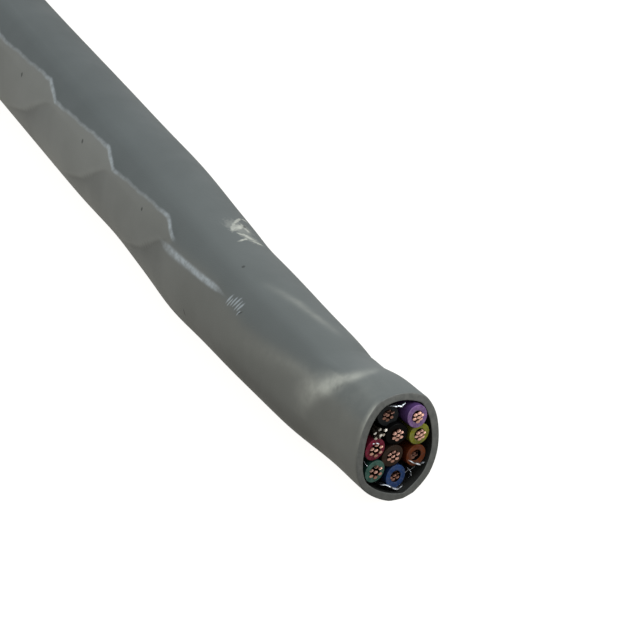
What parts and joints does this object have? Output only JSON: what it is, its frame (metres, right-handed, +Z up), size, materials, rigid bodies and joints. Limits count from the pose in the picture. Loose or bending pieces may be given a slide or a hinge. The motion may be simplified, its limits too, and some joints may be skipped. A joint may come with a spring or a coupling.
{
  "type": "foil-shielded multi-conductor cable sample",
  "caption": "Short cut length of grey jacketed, foil-shielded control cable, with colour-coded stranded conductors and a drain wire showing at its cut end.",
  "frame": {"origin": "middle of the footprint, on the surface that the cable lies on", "axes": "+X along the cable towards the cut end that shows the conductors, +Y to the left, +Z up"},
  "size_m": [0.0808, 0.0084, 0.0073],
  "materials": {
    "jacket": "satin grey PVC with soft creases",
    "foil": "bright crumpled foil",
    "tinned_strands": "bright tinned copper",
    "copper_strands": "bare copper, freshly cut",
    "insulation_black": "semi-gloss PVC",
    "insulation_brown": "semi-gloss PVC",
    "insulation_red": "semi-gloss PVC",
    "insulation_orange": "semi-gloss PVC",
    "insulation_yellow": "semi-gloss PVC",
    "insulation_green": "semi-gloss PVC",
    "insulation_blue": "semi-gloss PVC",
    "insulation_violet": "semi-gloss PVC",
    "insulation_grey": "semi-gloss PVC"
  },
  "bodies": {
    "root": {"jacket": "jacket", "foil_shield": "foil", "drain_wire": "tinned_strands", "insulation_black": "insulation_black", "insulation_brown": "insulation_brown", "insulation_red": "insulation_red", "insulation_orange": "insulation_orange", "insulation_yellow": "insulation_yellow", "insulation_green": "insulation_green", "insulation_blue": "insulation_blue", "insulation_violet": "insulation_violet", "insulation_grey": "insulation_grey", "strands_black": "copper_strands", "strands_brown": "copper_strands", "strands_red": "copper_strands", "strands_orange": "copper_strands", "strands_yellow": "copper_strands", "strands_green": "copper_strands", "strands_blue": "copper_strands", "strands_violet": "copper_strands", "strands_grey": "copper_strands"}
  },
  "joints": []
}
